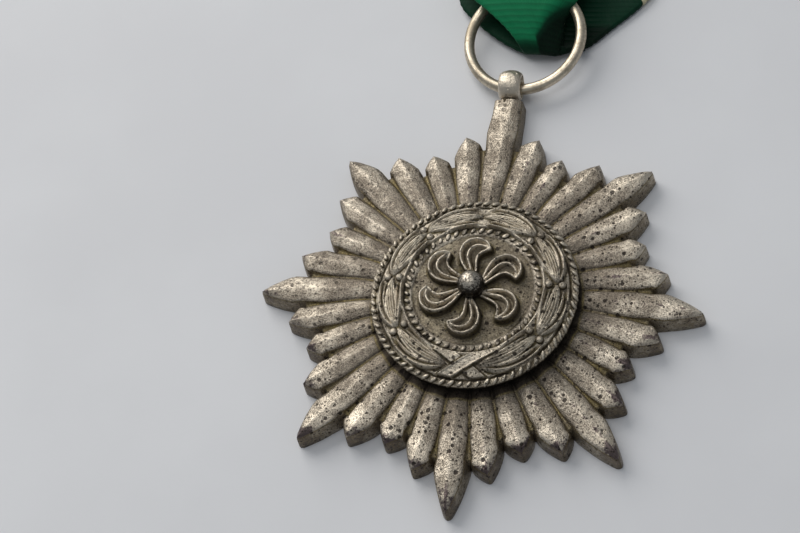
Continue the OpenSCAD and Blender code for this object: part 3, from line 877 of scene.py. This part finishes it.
def join_tree(others):
    """Adds other pieces of the same casting to a piece."""
    tree, given = start_tree("join_casting", {})
    parts = tree.nodes.new("GeometryNodeJoinGeometry")
    tree.links.new(given["Geometry"], parts.inputs[0])
    for other in others:
        part = put(tree, "GeometryNodeObjectInfo", {"Object": other})
        tree.links.new(part["Geometry"], parts.inputs[0])
    return end_tree(parts.outputs[0], given["Material"])


def dark_polish():
    """Dark polished metal, mottled, with a painted highlight on its top."""
    made, tree, shader = finish_of("dark_polished_ball")
    where = in_mm(tree)
    pitted = cloudy(where, 6.5, 4.0, 0.7)
    # Mottling, and a painted highlight that brightens the top of the ball
    worn = plus(times(pitted, 1.4), ramp(xyz(where)[2], 5.6, 6.35, 0.0, 0.3))
    set_sockets(shader, {
        "Base Color": tint(ramp(worn, 0.76, 1.12), ball_dark, ball_bright),
        "Metallic": 0.95, "Roughness": ramp(pitted, 0.4, 0.6, 0.45, 0.32),
        "Normal": bump(cloudy(where, 5.5, 3.0), 0.7, 0.06)})
    return made


disc_finish = cast_silver(
    "tarnished_cast_silver", disc_bright, disc_film, disc_moss, wear=0.655, rough=0.32)
disc = solid("disc_casting", [disc_casting()])
grown(disc, skin, disc_finish, {
    "Pit depth": 0.03 * MM, "Grain height": 0.09 * MM, "Wave height": 0.03 * MM})
bead_tree, extras = bead_row_tree(), []
for name, count, radius, height, sizes, slant, droop, wear, grime_and_shade, seed in bead_rows:
    extras.append(grown(add_mesh(name, []), bead_tree, disc_finish, {
        "Count": count, "Radius": radius * MM, "Height": height * MM,
        "Bead size": [size * MM for size in sizes], "Slant": math.radians(slant),
        "Droop": math.radians(droop), "Wear": wear, "Grime": grime_and_shade, "Seed": seed}))
berry_turns = np.radians([
    [side * (b * bundle_step + berry_angle) - 90] for side in (1, -1) for b in range(1, bundles)])
berry_points = polar(berry_radii, berry_turns, bed_h(berry_radii) + berry_lift)
extras.append(grown(add_mesh("berries", berry_points), berry_tree(), disc_finish, {
    "Berry radius": berry_r * MM}))
grown(disc, join_tree(extras), disc_finish)
for extra in extras:
    bpy.data.objects.remove(extra)
disc.data.shade_smooth()
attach(disc, "root")
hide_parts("disc")

ball_line = [
    (ball_r * math.cos(a), ball_h + ball_r * math.sin(a))
    for a in np.linspace(-1.2, math.pi / 2, 30)[:-1]]
ball_line = [(0.001, ball_line[0][1])] + ball_line + [(0.001, ball_h + ball_r)]
ball = solid("disc_ball", [(*lathe(ball_line, ball_turns), {})])
ball.data.materials.append(dark_polish())
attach(ball, "root")


# Ring. Round silvered wire, bent into a ring through the eyelet and round the ribbon, with
# its ends soldered. It is rubbed smooth and only lightly tarnished.
ring_middle = (0.7, 27.98, 1.98)
ring_tilt = Euler((math.radians(6), math.radians(-5), 0))
ring_r, wire_r = 5.4, 0.51
ring_turns, wire_turns = 180, 28
# The wire's thickness wavers, and the solder stands out at its seam
waver, seam_turn, seam_reach, seam_rise = 0.012, 46, 1.3, 0.035
wire_bright, wire_film = (0.70, 0.615, 0.485, 1), (0.40, 0.34, 0.255, 1)


def wire_ring():
    i, j = np.meshgrid(np.arange(ring_turns), np.arange(wire_turns), indexing="ij")
    a, b = i * math.tau / ring_turns, j * math.tau / wire_turns
    seam = seam_rise * np.exp(-((i - seam_turn) / seam_reach) ** 2)
    thick = wire_r + waver * np.sin(3 * a + 1) + seam
    points = polar(ring_r + thick * np.cos(b), a, thick * np.sin(b))
    points = points @ np.array(ring_tilt.to_matrix()).T + np.array(ring_middle)
    return points, grid_faces(ring_turns, wire_turns, True, True), {}


def rubbed_wire():
    made, tree, shader = finish_of("rubbed_silver_wire")
    where = in_mm(tree)
    film = plus(cloudy(where, 0.5, 4.0), times(cloudy(where, 4.0, 3.0), 0.4))
    film = ramp(film, 0.55, 0.95)
    set_sockets(shader, {
        "Base Color": tint(film, wire_bright, wire_film), "Metallic": 0.92,
        "Roughness": ramp(film, 0.0, 1.0, 0.32, 0.46),
        "Normal": bump(cloudy(where, 2.5, 3.0), 0.25, 0.02)})
    return made


ring = solid("wire_ring", [wire_ring()])
ring.data.materials.append(rubbed_wire())
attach(ring, "root")
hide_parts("ring")


# Ribbon. One strip of ribbed green silk, 30 mm wide, with a cream stripe near each edge. It is
# folded in three where it is drawn through the ring, doubled back, and opens out again
# towards its two cut ends.
ribbon_half_w, silk_t, ply = 15.0, 0.28, 0.33
fold_r, least_flap, least_rest = 0.16, 0.8, 0.05
rib_pitch, rib_h, row_gap = 0.55, 0.07, 0.11
turn_steps, flap_steps, ply_steps = 7, 8, 18
stripe, stripe_edge = (12.9, 14.3), 0.06
# Lengthwise creases of the ply: where, as a share of its half width, and how wide
crease_at, crease_w = 0.625, 0.14
# Where its left half starts to drop, as a share of the way out
left_start = 0.2
# The cloth is gathered up to the first y, and eases out of that over the second length
gather_y, gather_span = 29, 3
green_tints = [(0.006, 0.19, 0.075, 1), (0.010, 0.225, 0.092, 1)]
shade_tints = [(0.002, 0.03, 0.014, 1), (0.001, 0.006, 0.003, 1)]
cream_tint, rib_shade_tint = (0.62, 0.56, 0.38, 1), (0.002, 0.02, 0.008, 1)
warp_tint, sheen_tint = (0.002, 0.03, 0.012, 1), (0.55, 1.0, 0.7, 1)
# Rows from the upper cut end, through the ring, to the lower cut end. Columns: y, height,
# left x, right x, left drop, right drop, where the right drop starts as a share of the way
# out, depth of the two lengthwise creases, left flap, right flap, where a flap below 0 is
# turned to the outside
ribbon_rows = np.array([
    [70, 1.6, -15, 15, 0, 0, 0.2, 0, 0, 0],
    [65, 1.66, -14, 13.9, 0.05, 0.05, 0.2, 0.02, 1.0, 1.1],
    [60, 1.8, -12.8, 12.6, 0.2, 0.2, 0.2, 0.05, 2.2, 2.4],
    [50, 2.3, -10.4, 10.2, 0.6, 0.6, 0.2, 0.15, 4.6, 4.8],
    [42, 3.2, -8.3, 8.2, 1.3, 1.2, 0.2, 0.25, 6.7, 6.8],
    [37, 3.9, -6.9, 7, 1.5, 1.2, 0.3, 0.3, 8.1, 8],
    [33.4, 4.1, -5.9, 6.1, 0.9, 0.7, 0.7, 0.2, 9, 7],
    [31.6, 4.0, -4.7, 5.6, 0.5, 0.6, 0.66, 0.12, 8.5, 3.5],
    [30.1, 3.6, -2.8, 4.4, 0.3, 1.7, 0.5, 0.05, 6, 1.8],
    [28.7, 2.95, -1.1, 4.2, 0.1, 1.6, 0.1, 0, 4.5, 1.2],
    [27.65, 2.2, 0, 4.1, 0, 1.15, -0.35, 0, 3.4, 1.0],
    [27.15, 1.5, 0.5, 4, 0, 0.6, -0.5, 0, 3, 1.0],
    [27.1, 0.95, 0.6, 4.2, 0, 0.2, -0.5, 0, 3, 1.0],
    [27.5, 0.58, 0, 5.2, 0, 0, 0, 0, 4, 0.9],
    [28.5, 0.56, -1.8, 6.7, 0, 0, 0, 0, 6, -1.5],
    [30.6, 0.56, -4.5, 8.7, 0, 0, 0, 0, 8.5, -4.2],
    [32.6, 0.56, -6.3, 10.6, 0, 0, 0, 0, 10.5, -2.9],
    [34.6, 0.6, -6.6, 12, 0, 0, 0, 0, 11.4, -0.6],
    [42, 0.45, -7.6, 13.2, 0, 0, 0, 0, 9.2, 0],
    [52, 0.3, -10.2, 14.6, 0, 0, 0, 0, 5.2, 0],
    [62, 0.25, -12.4, 15.8, 0, 0, 0, 0, 1.8, 0],
    [71.4, 0.25, -13.5, 16.5, 0, 0, 0, 0, 0, 0]])


def path_length(rows, power=1.0):
    """How far along the path in the first two columns each row lies."""
    return np.concatenate([[0], np.cumsum(np.hypot(*np.diff(rows[:, :2], axis=0).T) ** power)])


def curved(rows, gap):
    """The rows joined by smooth curves, with a row at each gap along them, and its place."""
    ends = np.vstack([2 * rows[0] - rows[1], rows, 2 * rows[-1] - rows[-2]])
    knots, fine = path_length(ends, 0.5), []
    for k in range(1, len(ends) - 2):
        p, t = ends[k - 1:k + 3], knots[k - 1:k + 3]
        for s in np.linspace(t[1], t[2], 60, endpoint=False):
            a = [mix(p[j], p[j + 1], (s - t[j]) / (t[j + 1] - t[j])) for j in range(3)]
            b = [mix(a[j], a[j + 1], (s - t[j]) / (t[j + 2] - t[j])) for j in range(2)]
            share = (s - t[1]) / (t[2] - t[1])
            fine.append(mix(b[0], b[1], share))
            fine[-1][-2:] = mix(p[1][-2:], p[2][-2:], share)
    fine = np.array(fine + [rows[-1]])
    length = path_length(fine)
    places = np.linspace(0, length[-1], round(length[-1] / gap) + 1)
    return np.stack([np.interp(places, length, column) for column in fine.T], axis=1), places


def side_fold(edge, side, flap):
    """Half a row past the main ply: start x, then across, inward and cloth width of each point."""
    wide = max(abs(flap), least_flap)
    bend = math.pi * smooth(abs(flap) / least_flap)
    radius = fold_r * (2 if side > 0 and flap > 0 else 1)
    arc = min(math.pi * radius, wide * 1.6)
    start = edge - side * (wide * (1 + math.cos(bend)) / 2 + arc * (1 - math.cos(bend)) / 4)
    turned = []
    for s in np.linspace(0, 1, turn_steps):
        across, inward = arc * s, 0.0
        if bend > 0.01:
            across = arc / bend * math.sin(bend * s)
            inward = arc / bend * (1 - math.cos(bend * s))
        turned.append((across, min(inward, 2 * radius), arc * s))
    o, d, _ = turned[-1]
    rest = max(wide - arc / 2, least_rest)
    for s in np.linspace(0, 1, flap_steps)[1:]:
        inward = min(d + rest * s * math.sin(bend), 2 * radius)
        turned.append((o + rest * s * math.cos(bend), inward, arc + rest * s))
    inner = ribbon_half_w - wide - arc / 2
    way = 1.0 if flap >= 0 else -1.0
    return start, [(start + side * o, way * d, side * (inner + a)) for o, d, a in turned]


def silk_sheet():
    """The ribbon as one sheet of cloth, and its length."""
    rows, places = curved(ribbon_rows, row_gap)
    slope = np.gradient(rows[:, :2], axis=0)
    slope /= np.linalg.norm(slope, axis=1)[:, None]
    points, across, inner_face = [], [], []
    lowest = np.argmin(rows[:, 0])
    for k, row in enumerate(rows):
        y, h, left, right, left_drop, right_drop, right_start, crease, left_flap, right_flap = row
        left_x, left_turned = side_fold(left, -1, left_flap)
        right_x, right_turned = side_fold(right, 1, right_flap)
        line = left_turned[::-1]
        for s in np.linspace(0, 1, ply_steps + 1)[1:-1]:
            cloth = mix(left_turned[0][2], right_turned[0][2], s)
            line.append((mix(left_x, right_x, s), 0.0, cloth))
        line += right_turned
        middle, half_w = (left + right) / 2, max((right - left) / 2, 0.1)
        base = ply * smooth((h - 0.6) / 1.2)
        tight = smooth((y - gather_y) / gather_span)
        # The lower leaf is painted dark as shade under the upper leaf, and the bend as shade where
        # it curls under
        inner = smooth((k - lowest) / 20 + 0.5)
        shade = 0.9 * smooth((28.2 - y) / 0.9)
        for x, inward, cloth in line:
            u = np.clip((x - middle) / half_w, -1, 1)
            if u < 0 and right_start > 0:
                fall = left_drop * max(0.0, (-u - left_start) / (1 - left_start)) ** 1.6
            else:
                fall = right_drop * max(0.0, (u - right_start) / (1 - right_start)) ** 1.4
            fall += crease * math.exp(-((abs(u) - crease_at) / crease_w) ** 2)
            fall += 0.09 * (1 - tight) * (0.5 - 0.5 * math.cos(u * 11)) * smooth(h - 1)
            offset = base - inward
            points.append((x, y + slope[k, 1] * offset, h - fall - slope[k, 0] * offset))
            across.append(cloth * mix(0.8, 1.0, tight))
            # Painted shadow on the right flank of the upper leaf, near the ring
            flank = smooth((u - right_start) / 0.45) * smooth((32.5 - y) / 3) if u > 0 else 0.0
            inner_face.append(max(inner, 1.8 * flank, shade))
    wide = len(points) // len(rows)
    faces = [(a, d, c, b) for a, b, c, d in grid_faces(len(rows), wide)]
    marks = {"across": across, "along": np.repeat(places, wide), "inner_face": inner_face}
    return add_mesh("silk_ribbon", points, faces, marks), places[-1]


def rib_wave(along, pitch):
    """0 between the weft ribs and 1 on top of them."""
    turn = times(sums("DIVIDE", along, pitch), math.pi)
    return sums("ABSOLUTE", sums("SINE", turn))


def silk_rib_tree():
    """Weft ribs that stand up across the silk."""
    tree, given = start_tree("silk_ribs", {"Pitch": "Float", "Rib height": "Float"})
    along = put(tree, "GeometryNodeInputNamedAttribute", {"Name": "along"}, data_type="FLOAT")
    rib = sums("POWER", rib_wave(along[0], given["Pitch"]), 0.6)
    rise = times(minus(rib, 0.6), given["Rib height"])
    return end_tree(raised(given["Geometry"], rise), given["Material"])


def ribbed_silk():
    """Green silk with a cream stripe near each edge, with painted shade on its lower leaf, its
    right flank and its bend, and between the ribs.
    """
    made, tree, shader = finish_of("ribbed_silk")
    across, along, inner = (mark_of(tree, key) for key in ("across", "along", "inner_face"))
    edge = sums("ABSOLUTE", across)
    striped = times(
        ramp(edge, stripe[0] - stripe_edge, stripe[0] + stripe_edge),
        ramp(edge, stripe[1] + stripe_edge, stripe[1] - stripe_edge))
    rib = rib_wave(along, rib_pitch)
    threads = after("ShaderNodeCombineXYZ", {0: times(across, 11.0), 1: times(along, 0.4)})[0]
    warp = cloudy(threads, 1.0, 2.0, 0.5)
    faded = ramp(cloudy(in_mm(tree), 0.25, 3.0), 0.35, 0.7)
    colour = layered(tint(faded, *green_tints), [
        (ramp(inner, 0.0, 1.0), shade_tints[0]),
        (ramp(inner, 1.0, 1.8, 0.0, 0.9), shade_tints[1]),
        # The silk is painted darker between the ribs, as shade
        (striped, cream_tint), (ramp(rib, 0.0, 0.8, 0.26, 0.0), rib_shade_tint),
        (ramp(warp, 0.45, 0.75, 0.0, 0.28), warp_tint)])
    set_sockets(shader, {
        "Base Color": colour, "Roughness": ramp(warp, 0.3, 0.7, 0.5, 0.7),
        "Specular IOR Level": 0.12, "Sheen Weight": 0.02, "Sheen Roughness": 0.4,
        "Sheen Tint": sheen_tint, "Normal": bump(plus(times(warp, 0.5), rib), 0.4, 0.05)})
    return made


ribbon, ribbon_length = silk_sheet()
grown(ribbon, silk_rib_tree(), ribbed_silk(), {"Pitch": rib_pitch, "Rib height": rib_h * MM})
cloth = ribbon.modifiers.new("cloth", "SOLIDIFY")
cloth.thickness, cloth.offset = silk_t * MM, 0
applied(ribbon)
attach(ribbon, "root")
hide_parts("ribbon")
